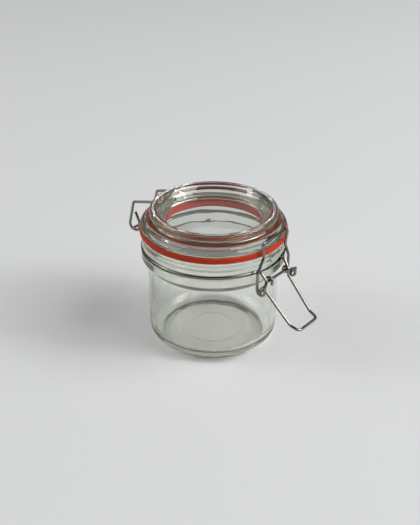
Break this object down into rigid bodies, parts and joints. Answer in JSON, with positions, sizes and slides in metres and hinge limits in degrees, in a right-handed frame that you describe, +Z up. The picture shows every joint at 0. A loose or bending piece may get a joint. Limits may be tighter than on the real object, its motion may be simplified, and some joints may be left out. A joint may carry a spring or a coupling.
{
  "type": "clip-top preserving jar",
  "caption": "Small straight-sided glass jar with a hinged glass lid, an orange rubber sealing ring and a wire clip shown half open.",
  "frame": {"origin": "on the jar's axis, in the plane the foot stands on", "axes": "+Z up along the jar's axis; -Y to the front, where the lever is; +Y to the hinge at the back; +X to the right as seen from the front; the jar is mirror-symmetric about the YZ plane"},
  "size_m": [0.082, 0.1216, 0.079],
  "materials": {
    "glass": "clear, polished",
    "rubber": "matte orange-red",
    "steel": "bright drawn wire"
  },
  "bodies": {
    "jar": {"jar": "glass", "neck_wire": "steel"},
    "lid": {"lid": "glass", "gasket": "rubber", "lid_wire": "steel"},
    "lever": {"lever": "steel"},
    "bail": {"bail": "steel"}
  },
  "joints": [
    {"name": "lid_hinge", "type": "hinge", "parent": "jar", "child": "lid", "pos_m": [0, 0.0512, 0.0538], "axis": [-1, 0, 0], "range_deg": [0, 110]},
    {"name": "lever_pivot", "type": "hinge", "parent": "jar", "child": "lever", "pos_m": [0, -0.0443, 0.0525], "axis": [-1, 0, 0], "range_deg": [-45, 95]},
    {"name": "bail_pivot", "type": "hinge", "parent": "lever", "child": "bail", "pos_m": [0, -0.0436, 0.0489], "axis": [-1, 0, 0], "range_deg": [-84, 40]}
  ],
  "couplings": [
    {"joint": "bail_pivot", "follows": "lever_pivot", "ratio": -0.88}
  ]
}
